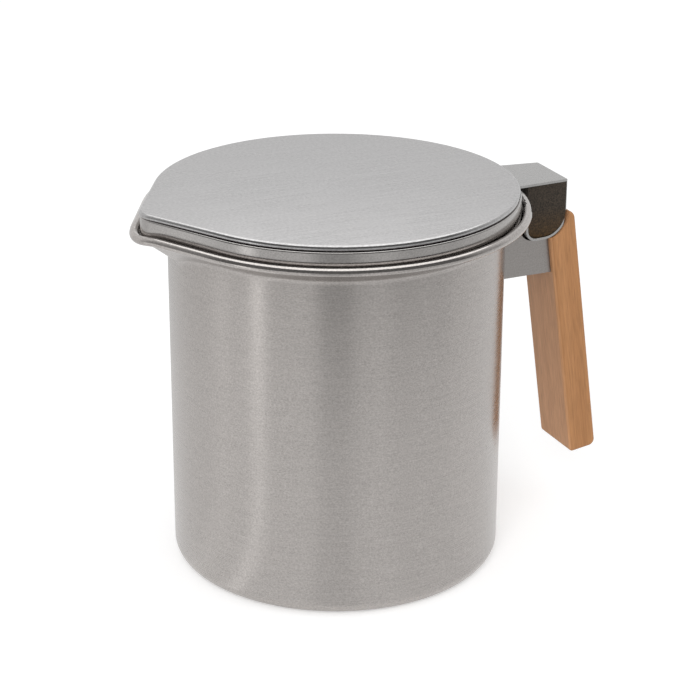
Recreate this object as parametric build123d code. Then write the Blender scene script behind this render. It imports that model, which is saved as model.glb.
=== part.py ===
from build123d import *
import math
import os

# Grease pot with a pouring spout, a wooden handle, a lift-out strainer and a lift-off lid.
# Millimetres. The pot stands on the XY plane with its axis on Z.
# +X runs towards the handle and -X towards the spout.

# ---- pot ----
pot_radius = 60.0            # outside of the straight wall
pot_height = 133.0           # floor to the top of the rolled rim
pot_sheet = 0.8              # steel thickness of wall, base and mouth
base_corner = 5.5            # outside radius where the wall turns into the base
base_ring_inset = 18.0       # wall to the middle of the ring pressed into the base
base_ring_width = 5.0
base_ring_depth = 0.4
base_ring_slope = 1.0        # run of each sloping flank of that ring

# ---- mouth, spout and rim ----
bead_radius = 1.6            # rolled rim
flare_reach = 7.7            # middle of the rim beyond the straight wall
flare_height = 6.0           # middle of the rim above the start of the flare
flare_bend = 2.6             # outside radius between wall and flare
spout_reach = 7.2            # tip of the rim beyond its round part
spout_drop = 6.0             # keel of the spout starts this far below the flare
spout_nose = 14.0            # plan radius of the rim at the tip
keel_nose = 3.4              # plan radius of the keel where it leaves the wall
spout_dip = 0.9              # the rim sinks this much at the tip
dip_run = 5.0                # straight length of rim over which it sinks
mouth_sink = 0.4             # edge of the sheet below the middle of the rim
mouth_bury = 0.2             # edge of the sheet beyond the middle of the rim

# ---- lid ----
lid_rise = 6.5               # top of the lid above the rim
lid_gap = 0.7                # skirt to rolled rim, all round
lid_tip_gap = 0.35           # skirt to rolled rim at the tip of the spout
lid_nose = 9.0               # plan radius of the lid's nose
lid_sheet = 0.8
skirt_shoulder = 0.5         # rounding at the top of the skirt
skirt_flange = 4.0           # inward flange at the top of the skirt
hem_height = 2.1
hem_width = 2.2
hem_flat = 0.2               # left between the roundings of the hem
hem_setback = 0.5            # hem inside the skirt, all round
nose_overhang = 0.3          # hem beyond the skirt at the nose

# ---- lifting loop of the lid ----
strap_sheet = 0.9
strap_rim_gap = 0.33         # under the strap where it crosses the rim
strap_fall = 0.4             # the strap slopes down this much from skirt to corner
strap_root_width = 26.4      # at the skirt
strap_end_width = 22.0       # at the outer corner
strap_end_corner = 2.0       # its two outer corners, seen from above
loop_rim_gap = 0.8           # inner wall of the loop to the rim
loop_reach = 18.2            # inner to outer wall of the loop, outside
loop_drop = 20.9             # bottom of the loop below the top of the rim
loop_inner_corner = 4.6
loop_outer_corner = 10.0
loop_top_corner = 1.2
loop_inner_wall = 7.0        # height of the inner wall above the bottom
core_width = 22.4
core_gap = 0.05              # bond line round the core

# ---- handle ----
handle_lean = 8.1            # degrees, outwards going down
notch_depth = 6.2            # the loop reaches this far past the handle's inner face
handle_thickness = 11.1
handle_width = 23.6
handle_above = 15.8          # screws to the top end
handle_below = 82.3          # screws to the bottom end
handle_edge = 1.3            # rounding of the long edges
handle_top_corner = 3.4
handle_foot_corner = 2.6
handle_inner_blend = 0.2     # inner corners rounded this much more than the edges
notch_gap = 0.5              # handle to loop

# ---- bracket and its fasteners ----
bracket_height = 13.4
nut_side_gap = 0.6           # nuts to the cheeks of the bracket
bracket_sheet = 1.2
bracket_loop_gap = 0.7       # top of the bracket to the loop above it
bracket_flange = 7.5         # weld flange beyond each cheek
bracket_plate = 1.5          # end plate against the handle
weld_gap = 0.05              # wall to weld flange
flange_corner = 2.5
shoulder_gap = 5.4           # top of the taller part beside the loop to the flare above it
screw_radius = 2.0
screw_head_gap = 0.6         # between the two heads
screw_head_lip = 1.9         # head beyond the shank
screw_head_sink = 0.2        # head below the surface of the handle
screw_clearance = 0.15
screw_tail = 0.8             # thread standing out of the nut
socket_width = 2.5           # across flats of the hexagon socket
socket_depth = 1.4
nut_wall = 1.5               # screw to each flat of the nut
nut_height = 3.2
nut_clearance = 0.02

# ---- strainer ----
strainer_sheet = 0.6
strainer_wall_gap = 0.8      # cup to the pot's wall
strainer_depth = 29.0
strainer_flange_gap = 1.0    # flange to the inside of the lid's skirt
strainer_corner = 4.0
mesh_ledge = 11.0            # width of the ledge that carries the mesh
mesh_thickness = 0.5
mesh_lap = 4.0               # mesh on the ledge
ring_height = 1.2
ring_width = 3.4
seat_gap = 0.35              # under pieces that rest on the flare
spout_gap = 0.3              # skirt to the sheet of the spout

# ---- places worked out from the sizes above ----
base_ring_radius = pot_radius - base_ring_inset
bead_height = pot_height - bead_radius
bead_ring = pot_radius + flare_reach
bead_tip = bead_ring + spout_reach
flare_start = bead_height - flare_height
keel_start = flare_start - spout_drop
mouth_top = bead_height - mouth_sink
mouth_radius = bead_ring + mouth_bury
mouth_reach = bead_tip + mouth_bury
mouth_nose = spout_nose + mouth_bury
flare_slope = (mouth_radius - pot_radius) / (mouth_top - flare_start)
keel_slope = (mouth_reach - pot_radius) / (mouth_top - keel_start)
nose_slope = (mouth_nose - keel_nose) / (mouth_top - keel_start)
flare_inset = pot_sheet * math.hypot(1.0, flare_slope)

skirt_radius = bead_ring - bead_radius - lid_gap
skirt_tip = bead_tip - bead_radius - lid_tip_gap
lid_top = pot_height + lid_rise
hem_bottom = lid_top - hem_height
hem_rounding = (hem_height - hem_flat) / 2


def seat_height(radius):
    """Height of the flare's upper face at a radius, on the round part of the mouth."""
    return mouth_top - (mouth_radius - flare_inset - radius) / flare_slope


skirt_bottom = seat_height(skirt_radius) + seat_gap

loop_inside = bead_ring + bead_radius + loop_rim_gap
loop_outside = loop_inside + loop_reach
loop_bottom = pot_height - loop_drop
strap_start = math.sqrt(skirt_radius**2 - (strap_root_width / 2) ** 2)
strap_slope = strap_fall / (loop_outside - skirt_radius)
strap_over_rim = pot_height + strap_rim_gap + strap_sheet
strap_top = strap_over_rim + strap_slope * (bead_ring - skirt_radius)

screw_head_radius = screw_radius + screw_head_lip
screw_spacing = screw_head_radius * 2 + screw_head_gap
screw_top = handle_thickness - screw_head_sink
screw_start = -bracket_plate - nut_height - screw_tail
nut_width = (screw_radius + nut_wall) * 2

bracket_channel = screw_spacing + nut_width + nut_side_gap * 2
bracket_width = bracket_channel + bracket_sheet * 2
bracket_top = loop_bottom - bracket_loop_gap
bracket_bottom = bracket_top - bracket_height
shoulder_top = flare_start - shoulder_gap
screw_height = (bracket_top + bracket_bottom) / 2
handle_x = loop_outside - notch_depth
handle_inner_corner = handle_edge + handle_inner_blend
lean = math.radians(handle_lean)
handle_plane = Plane(
    origin=(handle_x, 0, screw_height),
    x_dir=(math.cos(lean), 0, math.sin(lean)),
    z_dir=(0, -1, 0),
)

strainer_radius = pot_radius - pot_sheet - strainer_wall_gap
flange_radius = skirt_radius - lid_sheet - strainer_flange_gap
flange_bottom = seat_height(flange_radius) + seat_gap
strainer_floor = flange_bottom - strainer_depth
window_radius = strainer_radius - mesh_ledge
mesh_radius = window_radius + mesh_lap
mesh_bottom = strainer_floor + strainer_sheet


def teardrop_corners(radius, reach, nose):
    """Where the straight flank of a teardrop leaves its round part and meets its nose."""
    centre = reach - nose
    cosine = (radius - nose) / centre
    sine = math.sqrt(1 - cosine**2)
    back = (-radius * cosine, radius * sine)
    front = (-centre - nose * cosine, nose * sine)
    return back, front


def teardrop(radius, reach, nose, height, inset=0.0):
    """Plan outline of the mouth: a round with a rounded point towards -X."""
    radius, reach, nose = radius - inset, reach - inset, nose - inset
    back, front = teardrop_corners(radius, reach, nose)
    near_back = (back[0], -back[1])
    near_front = (front[0], -front[1])
    outline = [
        ThreePointArc(near_back, (radius, 0), back),
        Line(back, front),
        ThreePointArc(front, (-reach, 0), near_front),
        Line(near_front, near_back),
    ]
    return Pos(0, 0, height) * make_face(outline)


def mouth_section(height, inset):
    """Outline of the flare and spout at a height, drawn in by inset."""
    rise = mouth_top - height
    radius = mouth_radius - rise * flare_slope
    reach = mouth_reach - rise * keel_slope
    nose = mouth_nose - rise * nose_slope
    return teardrop(radius, reach, nose, height, inset)


def mouth_cone(inset):
    """Solid inside the flare and spout, from below the keel to the rim."""
    low = keel_start - pot_sheet
    return loft([mouth_section(low, inset), mouth_section(mouth_top, inset)], ruled=True)


def base_profile(offset):
    """Half section of the pot below its mouth, drawn in by offset from the outside."""
    radius = pot_radius - offset
    corner = base_corner - offset
    ring_in = base_ring_radius - base_ring_width / 2
    ring_out = base_ring_radius + base_ring_width / 2
    step = offset + base_ring_depth
    diagonal = corner * (1 - math.sqrt(0.5))
    outline = [
        Polyline(
            (0, mouth_top),
            (0, offset),
            (ring_in, offset),
            (ring_in + base_ring_slope, step),
            (ring_out - base_ring_slope, step),
            (ring_out, offset),
            (radius - corner, offset),
        ),
        ThreePointArc(
            (radius - corner, offset),
            (radius - diagonal, offset + diagonal),
            (radius, offset + corner),
        ),
        Polyline((radius, offset + corner), (radius, mouth_top), (0, mouth_top)),
    ]
    return Plane.XZ * make_face(outline)


def wall_edges(solid):
    """Edges where the straight wall turns into the mouth."""
    wall = solid.faces().filter_by(GeomType.CYLINDER).sort_by(SortBy.AREA)[-1]
    curves = wall.edges().filter_by(GeomType.LINE, reverse=True)
    return curves.sort_by(Axis.Z)[1:]


def bowl(offset):
    """Solid of the pot's outside, or of its inside when drawn in by the sheet."""
    inset = flare_inset if offset else 0.0
    straight = revolve(base_profile(offset), Axis.Z)
    solid = straight + mouth_cone(inset)
    return solid.fillet(flare_bend + offset, wall_edges(solid))


def rim_bead():
    """Rolled rim that follows the mouth and dips at the tip of the spout."""
    back, front = teardrop_corners(bead_ring, bead_tip, spout_nose)
    flank = Vector(front[0] - back[0], front[1] - back[1]).normalized()
    knee = Vector(front[0], front[1], bead_height) - flank * dip_run
    nose_run = spout_nose * math.atan2(front[1], -front[0] - bead_tip + spout_nose)
    front_fall = spout_dip * dip_run / (dip_run + nose_run)
    front_low = (front[0], front[1], bead_height - front_fall)
    tip = (-bead_tip, 0, bead_height - spout_dip)
    round_middle = math.atan2(back[1], back[0]) / 2
    path = [
        ThreePointArc(
            (bead_ring, 0, bead_height),
            (bead_ring * math.cos(round_middle), bead_ring * math.sin(round_middle), bead_height),
            (back[0], back[1], bead_height),
        ),
        Line((back[0], back[1], bead_height), knee),
        Spline(knee, front_low, tip, tangents=[flank, (0, -1, 0)]),
    ]
    section = Plane(origin=(bead_ring, 0, bead_height), z_dir=(0, 1, 0)) * Circle(bead_radius)
    half = sweep(section, path=Wire(path))
    return half + half.mirror(Plane.XZ)


def pot_body():
    """Drawn steel pot with its flared mouth, spout and rolled rim."""
    return bowl(0.0) - bowl(pot_sheet) + rim_bead()


def lid_cover():
    """Flat top plate of the lid with its deep rounded hem."""
    radius = skirt_radius - hem_setback
    reach = skirt_tip + nose_overhang
    slab = extrude(teardrop(radius, reach, lid_nose, hem_bottom), hem_height)
    slab = fillet(slab.edges().filter_by(Axis.Z, reverse=True), hem_rounding)
    hollow = teardrop(radius, reach, lid_nose, hem_bottom, inset=hem_width)
    return slab - extrude(hollow, hem_height - lid_sheet)


def lid_skirt():
    """Band under the cover that drops into the mouth, with its inward weld flange."""
    tall = hem_bottom - skirt_bottom
    outside = extrude(teardrop(skirt_radius, skirt_tip, lid_nose, skirt_bottom), tall)
    shoulder = outside.faces().sort_by(Axis.Z)[-1].edges()
    outside = fillet(shoulder, skirt_shoulder)
    inside = teardrop(skirt_radius, skirt_tip, lid_nose, skirt_bottom, inset=lid_sheet)
    window = teardrop(skirt_radius, skirt_tip, lid_nose, skirt_bottom, inset=lid_sheet + skirt_flange)
    band = outside - extrude(inside, tall - lid_sheet) - extrude(window, tall)
    return band - (mouth_cone(0.0) - mouth_cone(flare_inset + spout_gap * flare_slope))


def strap_level(x):
    """Height of the strap's top face, which slopes from the skirt to the outer corner."""
    return strap_top - strap_slope * (x - skirt_radius)


def loop_outline(grow=0.0):
    """Side view of the loop's outside, grown by a clearance or shrunk by a thickness."""
    left = loop_inside - grow
    right = loop_outside + grow
    low = loop_bottom - grow
    corners = [
        (left, low),
        (right, low),
        (right, strap_level(loop_outside) + grow),
        (left, strap_level(loop_inside) + grow),
    ]
    radii = [loop_inner_corner + grow, loop_outer_corner + grow, loop_top_corner + grow, 0]
    return Plane.XZ * make_face(FilletPolyline(corners, radius=radii, close=True))


def strap_root():
    """Side view of the strap between the lid's skirt and the loop."""
    end = loop_inside + strap_sheet
    corners = Polyline(
        (strap_start, strap_level(strap_start)),
        (end, strap_level(end)),
        (end, strap_level(end) - strap_sheet),
        (strap_start, strap_level(strap_start) - strap_sheet),
        close=True,
    )
    return Plane.XZ * make_face(corners)


def loop_plan(root, end):
    """Tall solid of a plan view that runs from root to end in width, with rounded outer corners."""
    corners = [
        (strap_start, -root / 2),
        (loop_outside, -end / 2),
        (loop_outside, end / 2),
        (strap_start, root / 2),
    ]
    radii = [0, strap_end_corner, strap_end_corner, 0]
    return extrude(make_face(FilletPolyline(corners, radius=radii, close=True)), lid_top)


def lid_loop():
    """Steel strap from the skirt over the rim, bent round into a lifting loop."""
    loop = extrude(loop_outline() - loop_outline(-strap_sheet), strap_root_width, both=True)
    opening_low = loop_bottom + loop_inner_wall
    opening_high = strap_level(loop_inside) - strap_sheet
    opening = Pos(loop_inside, 0, (opening_low + opening_high) / 2) * Box(
        strap_sheet * 2, strap_root_width * 2, opening_high - opening_low
    )
    strap = loop - opening + extrude(strap_root(), strap_root_width, both=True)
    seat = skirt_radius + weld_gap
    flange_low = strap_level(skirt_radius) - strap_sheet
    flange_height = hem_bottom - weld_gap - flange_low
    ring = Cylinder(seat + strap_sheet, flange_height) - Cylinder(seat, flange_height)
    flange = Pos(0, 0, flange_low + flange_height / 2) * ring
    skirt_room = Pos(0, 0, lid_top / 2) * Cylinder(seat, lid_top)
    return (strap - skirt_room + flange) & loop_plan(strap_root_width, strap_end_width)


def loop_core():
    """Dark heat-proof block that fills the loop."""
    block = extrude(loop_outline(-strap_sheet - core_gap), core_width, both=True)
    return block & loop_plan(core_width, core_width)


def wood_handle():
    """Leaning wooden bar with a notch for the lid's loop and two countersunk holes."""
    corners = [
        (0, -handle_below),
        (handle_thickness, -handle_below),
        (handle_thickness, handle_above),
        (0, handle_above),
    ]
    radii = [handle_inner_corner, handle_foot_corner, handle_top_corner, handle_inner_corner]
    side = handle_plane * make_face(FilletPolyline(corners, radius=radii, close=True))
    bar = extrude(side, handle_width / 2, both=True)
    flanks = bar.faces().sort_by(Axis.Y)
    bar = fillet(flanks[0].edges() + flanks[-1].edges(), handle_edge)
    notch = extrude(loop_outline(notch_gap), handle_width, both=True)
    return bar - notch - screw_holes()


def screw_plane(side):
    """Axis of one screw, starting at the handle's inner face and pointing out of it."""
    return Plane(
        origin=(handle_x, side * screw_spacing / 2, screw_height),
        x_dir=(-math.sin(lean), 0, math.cos(lean)),
        z_dir=(math.cos(lean), 0, math.sin(lean)),
    )


def standing(shape_height, bottom):
    """Placement that stands a centred solid of a height on a bottom level."""
    return Pos(0, 0, bottom + shape_height / 2)


def screw_solid(radius, head_radius, start, head_top):
    """Countersunk screw from start to head_top along its own axis."""
    cone_height = head_radius - radius
    cone_bottom = head_top - cone_height
    shank = standing(cone_bottom - start, start) * Cylinder(radius, cone_bottom - start)
    cone = standing(cone_height, cone_bottom) * Cone(radius, head_radius, cone_height)
    return shank + cone


def screw_holes():
    """Clearance holes with countersinks for both screws, open at both ends."""
    radius = screw_radius + screw_clearance
    head_radius = screw_head_radius + screw_clearance
    hole = screw_solid(radius, head_radius, screw_start, screw_top)
    mouth = standing(screw_head_radius, screw_top) * Cylinder(head_radius, screw_head_radius)
    return screw_plane(-1) * (hole + mouth) + screw_plane(1) * (hole + mouth)


def handle_screws():
    """Two countersunk screws with hexagon sockets, heads on the outer face."""
    outline = RegularPolygon(socket_width / 2, 6, major_radius=False)
    socket = Pos(0, 0, screw_top - socket_depth) * extrude(outline, socket_depth)
    screw = screw_solid(screw_radius, screw_head_radius, screw_start, screw_top) - socket
    return screw_plane(-1) * screw + screw_plane(1) * screw


def handle_nuts():
    """Hexagon nuts against the inside of the bracket's end plate."""
    outline = RegularPolygon(nut_width / 2, 6, major_radius=False)
    outline = outline - Circle(screw_radius + nut_clearance)
    nut = Pos(0, 0, -bracket_plate - nut_height) * extrude(outline, nut_height)
    return screw_plane(-1) * nut + screw_plane(1) * nut


def beyond_handle(offset):
    """Everything outside a plane that lies along the handle's inner face."""
    middle = handle_plane * Pos(offset + handle_x / 2, 0, 0)
    return middle * Box(handle_x, handle_x * 2, handle_x)


def arm_shape(width, inset, plate):
    """Solid of the arm from the pot's wall to the handle, hollowed from above round the loop."""
    start = pot_radius / 2
    length = handle_x + handle_thickness - start
    bottom = bracket_bottom - inset
    top = shoulder_top - inset
    block = Pos(start + length / 2, 0, (bottom + top) / 2) * Box(length, width, top - bottom)
    room = extrude(loop_outline(bracket_loop_gap + inset), bracket_width, both=True)
    return block - room - beyond_handle(-plate)


def bracket_arm():
    """Folded channel, open below, whose top follows the loop and rises beside it."""
    hollow = arm_shape(bracket_channel, bracket_sheet, bracket_plate)
    return arm_shape(bracket_width, 0.0, 0.0) - hollow


def bracket_flanges():
    """Two weld flanges that follow the pot's wall, one beyond each cheek of the channel."""
    seat = pot_radius + weld_gap
    shell = Cylinder(seat + bracket_sheet, pot_height) - Cylinder(seat, pot_height)
    view = RectangleRounded(bracket_width + 2 * bracket_flange, bracket_height, flange_corner)
    patch = shell & (Plane.YZ * extrude(view, pot_radius * 2))
    channel = Pos(pot_radius, 0, 0) * Box(pot_radius, bracket_channel, pot_height)
    return Pos(0, 0, screw_height) * (patch - channel)


def handle_bracket():
    """Channel and weld flanges, fitted to the pot's wall and drilled for both screws."""
    wall = Pos(0, 0, pot_height / 2) * Cylinder(pot_radius + weld_gap, pot_height)
    return bracket_arm() - wall + bracket_flanges() - screw_holes()


def strainer_cup():
    """Drawn cup with a flange on the flare and a ledge round its open floor."""
    outside = standing(strainer_depth, strainer_floor) * Cylinder(strainer_radius, strainer_depth)
    outside = fillet(outside.edges().sort_by(Axis.Z)[0], strainer_corner)
    rim = standing(strainer_sheet, flange_bottom) * Cylinder(flange_radius, strainer_sheet)
    bore = strainer_radius - strainer_sheet
    tall = strainer_depth * 2
    inside = standing(tall, mesh_bottom) * Cylinder(bore, tall)
    inside = fillet(inside.edges().sort_by(Axis.Z)[0], strainer_corner - strainer_sheet)
    window = Pos(0, 0, strainer_floor) * Cylinder(window_radius, strainer_depth)
    return outside + rim - inside - window


def strainer_mesh():
    """Fine mesh disc that lies on the ledge."""
    return standing(mesh_thickness, mesh_bottom) * Cylinder(mesh_radius, mesh_thickness)


def mesh_ring():
    """Flat ring that holds the mesh down."""
    ring = Cylinder(mesh_radius, ring_height) - Cylinder(mesh_radius - ring_width, ring_height)
    return standing(ring_height, mesh_bottom + mesh_thickness) * ring


pieces = {
    "pot_body": pot_body,
    "handle_bracket": handle_bracket,
    "wood_handle": wood_handle,
    "handle_screws": handle_screws,
    "handle_nuts": handle_nuts,
    "strainer_cup": strainer_cup,
    "strainer_mesh": strainer_mesh,
    "mesh_ring": mesh_ring,
    "lid_cover": lid_cover,
    "lid_skirt": lid_skirt,
    "lid_loop": lid_loop,
    "loop_core": loop_core,
}

os.makedirs("parts", exist_ok=True)
for name, build in pieces.items():
    export_step(build(), f"parts/{name}.step")
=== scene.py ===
import math

import bmesh
import bpy
from mathutils import Matrix, Vector


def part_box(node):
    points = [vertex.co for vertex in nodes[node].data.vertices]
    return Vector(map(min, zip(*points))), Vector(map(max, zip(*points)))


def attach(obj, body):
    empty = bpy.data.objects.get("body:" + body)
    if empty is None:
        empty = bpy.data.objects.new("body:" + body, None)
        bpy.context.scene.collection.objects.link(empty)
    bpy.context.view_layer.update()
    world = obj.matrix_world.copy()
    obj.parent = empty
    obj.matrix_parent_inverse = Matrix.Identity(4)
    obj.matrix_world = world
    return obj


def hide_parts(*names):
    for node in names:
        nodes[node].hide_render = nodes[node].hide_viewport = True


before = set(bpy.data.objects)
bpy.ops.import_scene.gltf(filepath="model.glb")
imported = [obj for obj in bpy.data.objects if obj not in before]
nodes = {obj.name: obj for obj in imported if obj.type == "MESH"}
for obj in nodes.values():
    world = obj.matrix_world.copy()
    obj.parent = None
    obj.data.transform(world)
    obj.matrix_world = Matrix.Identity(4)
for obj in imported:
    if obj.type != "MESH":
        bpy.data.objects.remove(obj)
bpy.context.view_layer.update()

# Metres. The pot's axis is Z, its handle points to +X and its spout to -X.
MM = 0.001

# ---- camera ----
CAMERA_PLACE = Vector((-0.3072, -0.6772, 0.37815))
CAMERA_AZIMUTH = math.radians(24.79)
CAMERA_PITCH = math.radians(22.056)
CAMERA_ROLL = math.radians(0.29)
LENS_MM = 113.6
SENSOR_MM = 36.0

# ---- what the handle's grain follows ----
HANDLE_LEAN = math.radians(8.1)


# ---------------------------------------------------------------- camera, light and floor

def make_camera():
    """Camera at the viewing angle, with a slight roll."""
    view = Vector((
        math.sin(CAMERA_AZIMUTH) * math.cos(CAMERA_PITCH),
        math.cos(CAMERA_AZIMUTH) * math.cos(CAMERA_PITCH),
        -math.sin(CAMERA_PITCH),
    ))
    level = view.cross(Vector((0, 0, 1))).normalized()
    upright = level.cross(view)
    right = level * math.cos(CAMERA_ROLL) + upright * math.sin(CAMERA_ROLL)
    up = right.cross(view)
    data = bpy.data.cameras.new("camera")
    data.lens = LENS_MM
    data.sensor_width = SENSOR_MM
    data.clip_start = 0.01
    data.clip_end = 50
    camera = bpy.data.objects.new("camera", data)
    camera.matrix_world = Matrix.Translation(CAMERA_PLACE) @ Matrix((right, up, -view)).transposed().to_4x4()
    bpy.context.scene.collection.objects.link(camera)
    bpy.context.scene.camera = camera


def add(tree, kind, values=None, **settings):
    """New node with its settings, and with sockets set to a value or linked to another socket."""
    made = tree.nodes.new(kind)
    for name, value in settings.items():
        setattr(made, name, value)
    for socket, value in (values or {}).items():
        target = made.inputs[socket]
        if isinstance(value, bpy.types.NodeSocket):
            tree.links.new(value, target)
        else:
            target.default_value = value
    return made


def height(tree):
    """Height on the object, in metres."""
    place = add(tree, "ShaderNodeTexCoord").outputs["Object"]
    return add(tree, "ShaderNodeSeparateXYZ", {0: place}).outputs["Z"]


def new_material(name):
    material = bpy.data.materials.new(name)
    material.use_nodes = True
    tree = material.node_tree
    tree.nodes.clear()
    return material, tree


def shown_background(tree):
    """1 for the camera, for reflections and through glass, and 0 for diffuse light."""
    path = add(tree, "ShaderNodeLightPath")
    mirror = add(tree, "ShaderNodeMath", {0: path.outputs["Is Camera Ray"],
                                          1: path.outputs["Is Glossy Ray"]}, operation="MAXIMUM")
    both = add(tree, "ShaderNodeMath", {0: mirror.outputs[0],
                                        1: path.outputs["Is Transmission Ray"]}, operation="MAXIMUM")
    return both.outputs[0]


def make_world(ambient):
    """White background, and a softer white for the diffuse light."""
    world = bpy.data.worlds.new("studio")
    world.use_nodes = True
    tree = world.node_tree
    tree.nodes.clear()
    white = add(tree, "ShaderNodeBackground", {"Color": (1, 1, 1, 1), "Strength": 1.0})
    soft = add(tree, "ShaderNodeBackground", {"Color": (1, 1, 1, 1), "Strength": ambient})
    mixed = add(tree, "ShaderNodeMixShader", {0: shown_background(tree), 1: soft.outputs[0],
                                              2: white.outputs[0]})
    add(tree, "ShaderNodeOutputWorld", {"Surface": mixed.outputs[0]})
    bpy.context.scene.world = world


def make_floor(radius=6.0, lift=0.30):
    """Pale floor that keeps the shadow. lift brings its lit part up to white."""
    mesh = bpy.data.meshes.new("floor")
    corners = [(radius * x, radius * y, 0.0) for x, y in ((-1, -1), (1, -1), (1, 1), (-1, 1))]
    mesh.from_pydata(corners, [], [(0, 1, 2, 3)])
    floor = bpy.data.objects.new("floor", mesh)
    bpy.context.scene.collection.objects.link(floor)
    material, tree = new_material("floor_paper")
    paper = add(tree, "ShaderNodeBsdfDiffuse", {"Color": (0.9, 0.9, 0.9, 1)})
    glow_level = add(tree, "ShaderNodeMath", {0: shown_background(tree), 1: lift}, operation="MULTIPLY")
    glow = add(tree, "ShaderNodeEmission", {"Strength": glow_level.outputs[0]})
    both = add(tree, "ShaderNodeAddShader", {0: paper.outputs[0], 1: glow.outputs[0]})
    add(tree, "ShaderNodeOutputMaterial", {"Surface": both.outputs[0]})
    mesh.materials.append(material)


LAMP_TARGET = Vector((0, 0, 0.08))


def make_lamp(name, place, width, height, power):
    """Soft rectangular lamp aimed at the object, which reflections don't see."""
    data = bpy.data.lights.new(name, "AREA")
    data.shape = "RECTANGLE"
    data.size = width
    data.size_y = height
    data.energy = power
    lamp = bpy.data.objects.new(name, data)
    lamp.location = place
    lamp.rotation_mode = "QUATERNION"
    lamp.rotation_quaternion = (LAMP_TARGET - Vector(place)).to_track_quat("-Z", "Y")
    bpy.context.scene.collection.objects.link(lamp)
    lamp.visible_glossy = False


# Reflectors round and over the object, which only reflections see: two rings, one on the other,
# and a ceiling. The rings are lists of (direction in degrees from +X, brightness). The low one has
# a flat foot on the floor and fades to plain grey towards it.
LOW_REFLECTORS = (
    (0, 0.90), (30, 0.84), (70, 0.74), (110, 0.68), (140, 0.82), (155, 0.82), (168, 0.84), (181, 1.06),
    (190, 0.92), (197, 0.94), (204, 1.52), (211, 0.86), (231, 0.86), (242, 0.54), (250, 0.54), (259, 0.74),
    (268, 0.80), (280, 0.68), (296, 0.72), (304, 0.70), (312, 0.78), (328, 0.86), (345, 0.90), (360, 0.90),
)
HIGH_REFLECTORS = (
    (0, 0.92), (60, 0.92), (110, 0.96), (165, 0.92), (182, 0.38), (195, 0.19), (300, 0.18), (322, 0.55),
    (340, 0.85), (360, 0.92),
)
CEILING_LEVEL = 2.0
FOOT_LEVEL = 1.0          # brightness of the plain grey that the low ring fades to
FOOT_FADE = 0.6           # share of that grey at the floor
FADE_START = 0.03         # heights between which the fade runs out
FADE_TOP = 0.095
RING_RADIUS = 0.13
RING_STEP = 3             # degrees from point to point round a ring
FOOT_RADIUS = 0.062
FOOT_HEIGHT = 0.0006
RING_SEAM = 0.12          # height where the low ring ends and the high one starts
RING_TOP = 0.235
RAMP_SHARE = 0.5          # a ramp's colours end at 1, so it holds this share of the brightness


def reflector(name, points, faces):
    """Glowing surface that only reflections see, with its node tree and its brightness socket."""
    mesh = bpy.data.meshes.new(name)
    mesh.from_pydata(points, [], faces)
    piece = bpy.data.objects.new(name, mesh)
    bpy.context.scene.collection.objects.link(piece)
    material, tree = new_material(name)
    glow = add(tree, "ShaderNodeEmission")
    add(tree, "ShaderNodeOutputMaterial", {"Surface": glow.outputs[0]})
    mesh.materials.append(material)
    piece.visible_camera = False
    piece.visible_diffuse = False
    piece.visible_transmission = False
    piece.visible_shadow = False
    return tree, glow


def circle(height, radius=RING_RADIUS):
    """Points round the Z axis."""
    return [(radius * math.cos(math.radians(a)), radius * math.sin(math.radians(a)), height)
            for a in range(0, 360, RING_STEP)]


def by_direction(tree, levels):
    """Grey that is brighter and darker by direction from the Z axis."""
    place = add(tree, "ShaderNodeSeparateXYZ", {0: add(tree, "ShaderNodeTexCoord").outputs["Object"]})
    angle = add(tree, "ShaderNodeMath", {0: place.outputs["Y"], 1: place.outputs["X"]}, operation="ARCTAN2")
    turn = add(tree, "ShaderNodeMath", {0: angle.outputs[0], 1: 2 * math.pi}, operation="DIVIDE")
    turn = add(tree, "ShaderNodeMath", {0: turn.outputs[0]}, operation="FRACT")
    ramp = add(tree, "ShaderNodeValToRGB", {0: turn.outputs[0]})
    ramp.color_ramp.interpolation = "EASE"
    stops = ramp.color_ramp.elements
    for _ in range(len(levels) - len(stops)):
        stops.new(0.5)
    for stop, (direction, level) in zip(stops, levels):
        stop.position = direction / 360
        grey = level * RAMP_SHARE
        stop.color = (grey, grey, grey, 1)
    return ramp.outputs[0]


def make_ring(name, levels, circles, fade=0.0):
    """Band through the circles, brighter and darker by direction, that fades towards the floor."""
    count = len(circles[0])
    points = [point for ring in circles for point in ring]
    walls = [(row + k, row + (k + 1) % count, row + (k + 1) % count + count, row + k + count)
             for row in range(0, count * (len(circles) - 1), count) for k in range(count)]
    tree, glow = reflector(name, points, walls)
    faded = add(tree, "ShaderNodeMapRange", {"Value": height(tree), "From Min": FADE_START,
                                             "From Max": FADE_TOP, "To Min": fade, "To Max": 0.0})
    mix = add(tree, "ShaderNodeMix", {0: faded.outputs["Result"], 6: by_direction(tree, levels)},
              data_type="RGBA")
    grey = FOOT_LEVEL * RAMP_SHARE
    mix.inputs[7].default_value = (grey, grey, grey, 1)
    tree.links.new(mix.outputs[2], glow.inputs["Color"])
    glow.inputs["Strength"].default_value = 1 / RAMP_SHARE


def make_ceiling():
    """Glowing ceiling that is clear from above, so that a lid lifted through it doesn't mirror it."""
    rim = circle(RING_TOP)
    tree, glow = reflector("ceiling", rim, [tuple(range(len(rim)))])
    glow.inputs["Strength"].default_value = CEILING_LEVEL
    from_below = add(tree, "ShaderNodeNewGeometry").outputs["Backfacing"]
    clear = add(tree, "ShaderNodeBsdfTransparent")
    seen = add(tree, "ShaderNodeMixShader", {0: from_below, 1: clear.outputs[0], 2: glow.outputs[0]})
    tree.links.new(seen.outputs[0], tree.nodes["Material Output"].inputs["Surface"])


# ---------------------------------------------------------------- materials

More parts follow.
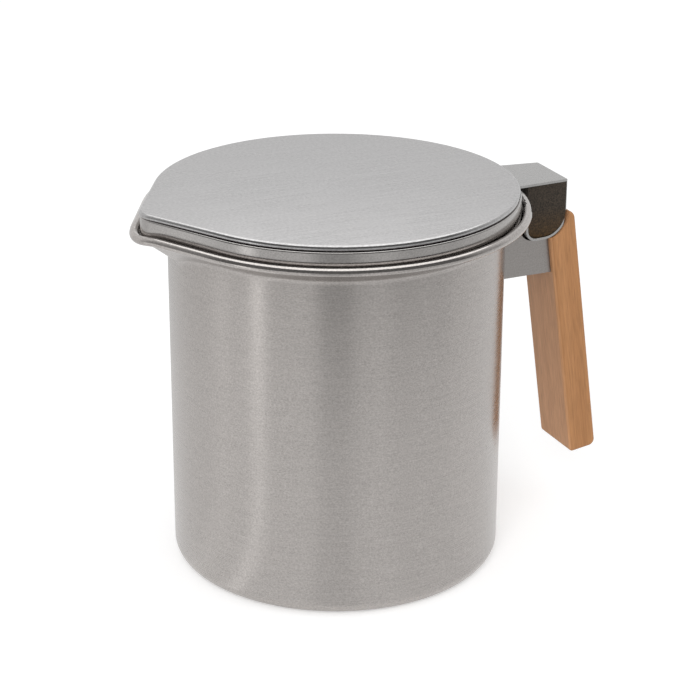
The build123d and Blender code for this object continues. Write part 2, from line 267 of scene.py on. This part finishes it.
def scaled_place(tree, scale, turn=(0, 0, 0)):
    """Position on the object, turned and then stretched so that grain runs along one direction."""
    place = add(tree, "ShaderNodeTexCoord").outputs["Object"]
    turned = add(tree, "ShaderNodeMapping", {"Vector": place, "Rotation": turn})
    stretched = add(tree, "ShaderNodeMapping", {"Vector": turned.outputs[0], "Scale": scale})
    return stretched.outputs[0]


def noise(tree, vector, detail=3.0, roughness=0.55):
    return add(tree, "ShaderNodeTexNoise", {"Vector": vector, "Scale": 1.0, "Detail": detail,
                                            "Roughness": roughness}).outputs["Fac"]


def spread(tree, value, low, high, start=0.3, end=0.7):
    """Maps a noise value from start..end to low..high."""
    return add(tree, "ShaderNodeMapRange", {"Value": value, "From Min": start, "From Max": end,
                                            "To Min": low, "To Max": high}).outputs["Result"]


def tinted(tree, factor, low, high):
    """Colour between low and high."""
    mix = add(tree, "ShaderNodeMix", {0: factor}, data_type="RGBA")
    mix.inputs[6].default_value = (*low, 1)
    mix.inputs[7].default_value = (*high, 1)
    return mix.outputs[2]


ACROSS_GRAIN = 0.25       # quarter turn: highlights stretch across the brushing
HAIR_SHARE = 0.65         # of the contrast, for the long hairlines
SHORT_SHARE = 1.3         # and for the short scratches
SHORT_SCALE = 30          # scratches are this many times finer than the hairlines
SHORT_LIMIT = 1900        # and at most this many to the metre
HAIR_DEPTH = 0.01 * MM
SMUDGES = (28, 28, 28)    # broad smudges to the metre, their shade and what they do to the roughness
SMUDGE_SHADE = 0.985
SMUDGE_ROUGH = 0.03
HAIR_ROUGH = 0.05         # what the hairlines do to the roughness
SATIN_BUMP = 0.25         # bump strength on satin steel and on polished steel
POLISHED_BUMP = 0.02


def height_mask(tree, start, end):
    """0 below start and 1 above end, by height on the object."""
    return add(tree, "ShaderNodeMapRange", {"Value": height(tree), "From Min": start,
                                            "From Max": end}).outputs["Result"]


def brushed_colour(tree, tone, tint, grain, hairs, clouds, contrast):
    """Tinted grey with hairlines, short scratches and faint smudges."""
    short_grain = [min(SHORT_SCALE * g, SHORT_LIMIT) for g in grain]
    short = noise(tree, scaled_place(tree, short_grain), detail=2.0)
    long_step = HAIR_SHARE * contrast
    short_step = SHORT_SHARE * contrast
    shade = add(tree, "ShaderNodeMath", {0: spread(tree, hairs, 1 - long_step, 1 + long_step),
                                         1: spread(tree, short, 1 - short_step, 1 + short_step)},
                operation="MULTIPLY")
    middle = [tone * c for c in tint]
    plain = tinted(tree, spread(tree, clouds, 0.0, 1.0), [c * SMUDGE_SHADE for c in middle], middle)
    return add(tree, "ShaderNodeVectorMath", {0: plain, "Scale": shade.outputs[0]},
               operation="SCALE").outputs[0]


def polished_above(tree, rough, bump, start, end, smooth):
    """Roughness that turns to smooth between two heights, where the bump fades too."""
    polished = height_mask(tree, start, end)
    strength = add(tree, "ShaderNodeMapRange", {"Value": polished, "To Min": SATIN_BUMP,
                                                "To Max": POLISHED_BUMP})
    tree.links.new(strength.outputs["Result"], bump.inputs["Strength"])
    return add(tree, "ShaderNodeMix", {0: polished, 2: rough, 3: smooth}, data_type="FLOAT").outputs[0]


def steel(name, tone, roughness, grain, tint=(1.0, 0.985, 0.965), contrast=0.08, anisotropy=0.0,
          polish=None):
    """Satin steel, brushed along its grain.

    grain is lines per metre. polish is (start height, end height, roughness): the surface turns
    from satin to polished between the two heights.
    """
    material, tree = new_material(name)
    hairs = noise(tree, scaled_place(tree, grain), detail=4.0, roughness=0.7)
    clouds = noise(tree, scaled_place(tree, SMUDGES), detail=2.0)
    colour = brushed_colour(tree, tone, tint, grain, hairs, clouds, contrast)
    rough = add(tree, "ShaderNodeMath", {
        0: spread(tree, hairs, roughness - HAIR_ROUGH, roughness + HAIR_ROUGH),
        1: spread(tree, clouds, -SMUDGE_ROUGH, SMUDGE_ROUGH)}, operation="ADD").outputs[0]
    bump = add(tree, "ShaderNodeBump", {"Strength": SATIN_BUMP, "Distance": HAIR_DEPTH, "Height": hairs})
    if polish:
        rough = polished_above(tree, rough, bump, *polish)
    values = {"Base Color": colour, "Metallic": 1.0, "Roughness": rough, "Anisotropic": anisotropy,
              "Normal": bump.outputs[0]}
    if anisotropy:
        values["Tangent"] = add(tree, "ShaderNodeTangent", direction_type="RADIAL", axis="Z").outputs[0]
        values["Anisotropic Rotation"] = ACROSS_GRAIN
    shader = add(tree, "ShaderNodeBsdfPrincipled", values)
    add(tree, "ShaderNodeOutputMaterial", {"Surface": shader.outputs[0]})
    return material


# Beech: dark and light band, on the faces away from the pot, and a paler, pinker pair for the face towards
# the pot, which is painted light bounced off the pot.
BEECH_AWAY_FROM_POT = ((0.375, 0.172, 0.064), (0.445, 0.213, 0.085))
BEECH_PAINTED_POT_LIGHT = ((0.57, 0.288, 0.136), (0.65, 0.338, 0.168))


def beech(name):
    """Oiled beech: bands, pores and darker flecks along the bar; the face to the pot is painted paler, as if
    lit by light bounced off the pot.
    """
    material, tree = new_material(name)
    lean = (0, HANDLE_LEAN, 0)
    bands = noise(tree, scaled_place(tree, (220, 150, 7), lean), detail=3.0)
    pores = noise(tree, scaled_place(tree, (2600, 2600, 110), lean), detail=2.0, roughness=0.6)
    flecks = noise(tree, scaled_place(tree, (1300, 1300, 170), lean), detail=0.0)
    band = spread(tree, bands, 0.0, 1.0, 0.3, 0.7)
    plain_wood = tinted(tree, band, *BEECH_AWAY_FROM_POT)
    painted_pot_light_wood = tinted(tree, band, *BEECH_PAINTED_POT_LIGHT)
    # Painted light: faces turned to the pot (-X) get the paler colours, as if lit by light bounced off the
    # pot.
    facing = add(tree, "ShaderNodeTexCoord").outputs["Normal"]
    inward = add(tree, "ShaderNodeSeparateXYZ", {0: facing}).outputs["X"]
    pot_light_mask = spread(tree, inward, 1.0, 0.0, -0.8, -0.4)
    mix = add(tree, "ShaderNodeMix", {0: pot_light_mask, 6: plain_wood, 7: painted_pot_light_wood}, data_type="RGBA")
    wood = mix.outputs[2]
    pore_shade = spread(tree, pores, 0.84, 1.08)
    fleck_shade = spread(tree, flecks, 1.0, 0.90, 0.62, 0.76)
    shade = add(tree, "ShaderNodeMath", {0: pore_shade, 1: fleck_shade}, operation="MULTIPLY")
    shaded = add(tree, "ShaderNodeVectorMath", {0: wood, "Scale": shade.outputs[0]}, operation="SCALE")
    bump = add(tree, "ShaderNodeBump", {"Strength": 0.35, "Distance": 0.05 * MM, "Height": pores})
    shader = add(tree, "ShaderNodeBsdfPrincipled", {
        "Base Color": shaded.outputs[0], "Roughness": spread(tree, pores, 0.58, 0.44),
        "Specular IOR Level": 0.35, "Normal": bump.outputs[0]})
    add(tree, "ShaderNodeOutputMaterial", {"Surface": shader.outputs[0]})
    return material


CORE_REFLECTION_FADE = (0.112, 0.124)            # heights between which the painted brown reflection of the wood, low on the core, turns to the plain dark top
CORE_LOW_WOOD_REFLECTION = (0.050, 0.027, 0.009)
CORE_TOP = (0.034, 0.026, 0.019)


def dark_core(name):
    """Heat-proof dark filling with a fine matt grain, tinted brown low down as a painted reflection of the
    wooden handle.
    """
    material, tree = new_material(name)
    grit = noise(tree, scaled_place(tree, (1900, 1900, 1900)), detail=3.0)
    # Painted reflection: brown below the fade, where the wood would mirror in the core; plain dark above.
    base = tinted(tree, height_mask(tree, *CORE_REFLECTION_FADE), CORE_LOW_WOOD_REFLECTION, CORE_TOP)
    shade = spread(tree, grit, 0.35, 1.75)
    shaded = add(tree, "ShaderNodeVectorMath", {0: base, "Scale": shade}, operation="SCALE")
    bump = add(tree, "ShaderNodeBump", {"Strength": 0.5, "Distance": 0.06 * MM, "Height": grit})
    shader = add(tree, "ShaderNodeBsdfPrincipled", {
        "Base Color": shaded.outputs[0], "Roughness": spread(tree, grit, 0.62, 0.8),
        "Specular IOR Level": 0.25, "Normal": bump.outputs[0]})
    add(tree, "ShaderNodeOutputMaterial", {"Surface": shader.outputs[0]})
    return material


# ---------------------------------------------------------------- woven strainer mesh

WIRE_PITCH = 1.6 * MM
WIRE_RADIUS = 0.115 * MM
WEAVE_RISE = 0.12 * MM
WIRE_SIDES = 6
STEPS_PER_PITCH = 2


def weave_wire(mesh, index, along_x, radius, height):
    """One wire of the weave, a thin tube that goes over and under its neighbours."""
    offset = index * WIRE_PITCH
    half = math.sqrt(max(radius**2 - offset**2, 0.0))
    count = max(2, int(2 * half / WIRE_PITCH * STEPS_PER_PITCH))
    start = 0 if along_x else 1
    rings = []
    for step in range(count + 1):
        run = -half + 2 * half * step / count
        phase = math.pi * (run / WIRE_PITCH + 0.5 + index + start)
        rise = WEAVE_RISE * math.sin(phase)
        ring = []
        for side in range(WIRE_SIDES):
            angle = 2 * math.pi * side / WIRE_SIDES
            across = offset + WIRE_RADIUS * math.cos(angle)
            up = height + rise + WIRE_RADIUS * math.sin(angle)
            ring.append(mesh.verts.new((run, across, up) if along_x else (across, run, up)))
        rings.append(ring)
    for near, far in zip(rings, rings[1:]):
        for side in range(WIRE_SIDES):
            after = (side + 1) % WIRE_SIDES
            mesh.faces.new((near[side], near[after], far[after], far[side]))
    mesh.faces.new(reversed(rings[0]))
    mesh.faces.new(rings[-1])


def new_piece(name, built, node, body):
    """Object from a finished bmesh that stands for a node and rides on its body."""
    bmesh.ops.recalc_face_normals(built, faces=built.faces)
    data = bpy.data.meshes.new(name)
    built.to_mesh(data)
    built.free()
    data.polygons.foreach_set("use_smooth", [True] * len(data.polygons))
    piece = bpy.data.objects.new(name, data)
    bpy.context.scene.collection.objects.link(piece)
    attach(piece, body)
    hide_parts(node)
    return piece


def make_weave():
    """Woven wire disc that stands for the strainer's mesh."""
    low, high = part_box("strainer_mesh")
    radius = (high[0] - low[0]) / 2 - WIRE_RADIUS
    height = (low[2] + high[2]) / 2
    built = bmesh.new()
    reach = int(radius / WIRE_PITCH)
    for index in range(-reach, reach + 1):
        weave_wire(built, index, True, radius, height)
        weave_wire(built, index, False, radius, height)
    return new_piece("strainer_weave", built, "strainer_mesh", "strainer")


# ---------------------------------------------------------------- lid cover with its rounded hem

COVER_NOSE = 9.0 * MM         # plan radius at the tip
COVER_ROUNDING = 0.95 * MM    # of the hem, above and below
COVER_HEM = 2.2 * MM          # width of the hem
COVER_SHEET = 0.8 * MM
COVER_EDGE = 0.3 * MM         # flat strip beside each rounding
ROUND_COLUMNS = 120
NOSE_COLUMNS = 16
ROUNDING_STEPS = 10


def cover_columns(radius, reach):
    """Columns round the cover: the centre, radius and direction on the arc where each stands."""
    centre = reach - COVER_NOSE
    turn = math.pi - math.acos((radius - COVER_NOSE) / centre)
    nose_turn = 2 * (math.pi - turn)
    columns = [(0.0, radius, -turn + 2 * turn * k / ROUND_COLUMNS) for k in range(ROUND_COLUMNS + 1)]
    columns += [(-centre, COVER_NOSE, turn + nose_turn * k / NOSE_COLUMNS) for k in range(NOSE_COLUMNS + 1)]
    return columns


def cover_section(bottom, top):
    """Section of the cover from its top face round the hem to its underside, as (inset, height)."""
    rows = [(COVER_ROUNDING + COVER_EDGE, top)]
    for middle, first in ((top - COVER_ROUNDING, 90), (bottom + COVER_ROUNDING, 0)):
        for step in range(ROUNDING_STEPS + 1):
            lean = math.radians(first - 90 * step / ROUNDING_STEPS)
            rows.append((COVER_ROUNDING * (1 - math.cos(lean)), middle + COVER_ROUNDING * math.sin(lean)))
    rows += [(COVER_ROUNDING + COVER_EDGE, bottom), (COVER_HEM, bottom), (COVER_HEM, top - COVER_SHEET)]
    return rows


def make_cover():
    """Flat lid cover whose rounded hem has an even mesh, so that reflections run along it cleanly."""
    low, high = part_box("lid_cover")
    built = bmesh.new()
    columns = cover_columns(high[1], -low[0])
    rows = [[built.verts.new((centre + (arc - inset) * math.cos(a), (arc - inset) * math.sin(a), level))
             for centre, arc, a in columns] for inset, level in cover_section(low[2], high[2])]
    for above, below in zip(rows, rows[1:]):
        for k, corner in enumerate(above):
            after = (k + 1) % len(above)
            built.faces.new((corner, below[k], below[after], above[after]))
    built.faces.new(rows[0])
    built.faces.new(reversed(rows[-1]))
    for row in rows[-2:]:
        for k, corner in enumerate(row):
            built.edges.get((corner, row[(k + 1) % len(row)])).smooth = False
    return new_piece("lid_plate", built, "lid_cover", "lid")


# ---------------------------------------------------------------- the scene

def dress(piece, material):
    piece.data.materials.clear()
    piece.data.materials.append(material)


def soften_edges(piece, width):
    """Rounds the sharp edges of a piece, so that they catch the light as polished edges do."""
    rounding = piece.modifiers.new("soft_edges", "BEVEL")
    rounding.width = width
    rounding.segments = 3
    rounding.limit_method = "ANGLE"
    rounding.angle_limit = math.radians(50)


make_camera()
make_world(ambient=0.78)
make_floor()
make_lamp("key", (-0.64, -0.94, 0.72), width=0.5, height=0.9, power=6.5)
make_lamp("fill", (0.9, -0.7, 0.8), width=0.6, height=0.6, power=1.3)
make_ring("low_reflectors", LOW_REFLECTORS, fade=FOOT_FADE, circles=(
    circle(FOOT_HEIGHT, FOOT_RADIUS), circle(FOOT_HEIGHT), circle(RING_SEAM)))
make_ring("high_reflectors", HIGH_REFLECTORS, circles=(circle(RING_SEAM), circle(RING_TOP)))
make_ceiling()

ROUND_GRAIN = (55, 55, 2600)            # brushed round the axis
RIM_POLISH = (0.1284, 0.1292, 0.13)     # polished from the rim bead up
HEM_POLISH = (0.13945, 0.13935, 0.16)   # polished below the top face
LOOP_EDGE = 0.32 * MM                   # rounding of the loop's sheet edges
pot_steel = steel("pot_satin", 0.435, 0.29, ROUND_GRAIN, tint=(1.0, 0.94, 0.90), contrast=0.125,
                  anisotropy=0.7, polish=RIM_POLISH)
lid_steel = steel("lid_satin", 0.42, 0.30, (30, 2400, 400), tint=(1.0, 0.985, 0.985), contrast=0.12,
                  polish=HEM_POLISH)
skirt_steel = steel("skirt_satin", 0.40, 0.16, ROUND_GRAIN, tint=(1.0, 0.96, 0.93))
loop_steel = steel("loop_satin", 0.37, 0.24, (60, 2000, 60), tint=(1.0, 0.985, 0.97))
bracket_steel = steel("bracket_satin", 0.30, 0.36, (60, 60, 2200), tint=(1.0, 0.945, 0.905))
strainer_steel = steel("strainer_satin", 0.55, 0.28, ROUND_GRAIN)
bright_steel = steel("fastener_bright", 0.40, 0.30, (400, 400, 400), contrast=0.05)
mesh_steel = steel("mesh_wire", 0.52, 0.30, (900, 900, 900), contrast=0.08)
for name, material in (
    ("pot_body", pot_steel), ("lid_cover", lid_steel), ("lid_skirt", skirt_steel),
    ("lid_loop", loop_steel), ("handle_bracket", bracket_steel), ("strainer_cup", strainer_steel),
    ("mesh_ring", strainer_steel), ("strainer_mesh", mesh_steel), ("handle_screws", bright_steel),
    ("handle_nuts", bright_steel), ("wood_handle", beech("handle_beech")),
    ("loop_core", dark_core("core_dark")),
):
    dress(nodes[name], material)
dress(make_weave(), mesh_steel)
dress(make_cover(), lid_steel)
soften_edges(nodes["lid_loop"], LOOP_EDGE)

bpy.context.scene.view_settings.view_transform = "Standard"
